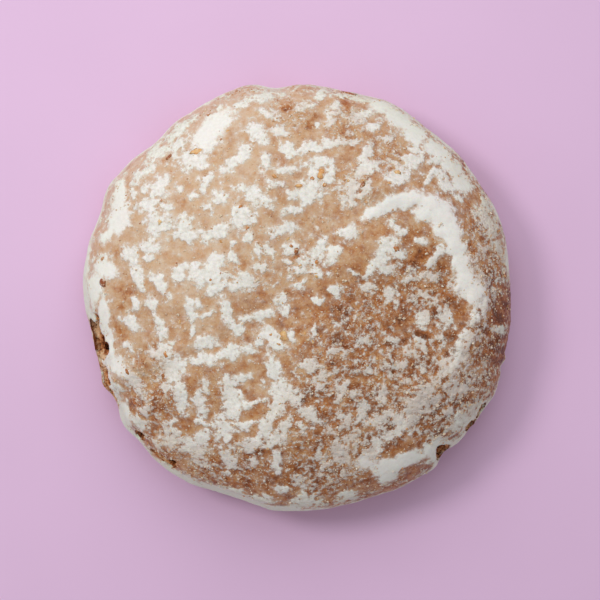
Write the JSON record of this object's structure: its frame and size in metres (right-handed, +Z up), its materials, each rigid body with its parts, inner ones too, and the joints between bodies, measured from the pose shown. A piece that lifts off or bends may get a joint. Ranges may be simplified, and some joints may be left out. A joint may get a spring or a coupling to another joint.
{
  "type": "glazed lebkuchen",
  "caption": "Round soft gingerbread biscuit with a crackled white sugar glaze over its domed top and side, split along one side, on a flat underside.",
  "frame": {"origin": "middle of the biscuit's box, on the plane of its flat underside", "axes": "+Z up through the dome; the long split in the side faces -X; the crest in the top bows towards +X"},
  "size_m": [0.0698, 0.0696, 0.0218],
  "materials": {
    "glazed_dough": "gingerbread under a thin sugar glaze that has dried to opaque white crackled patches, semi-matte"
  },
  "bodies": {
    "root": {"lebkuchen": "glazed_dough"}
  },
  "joints": []
}
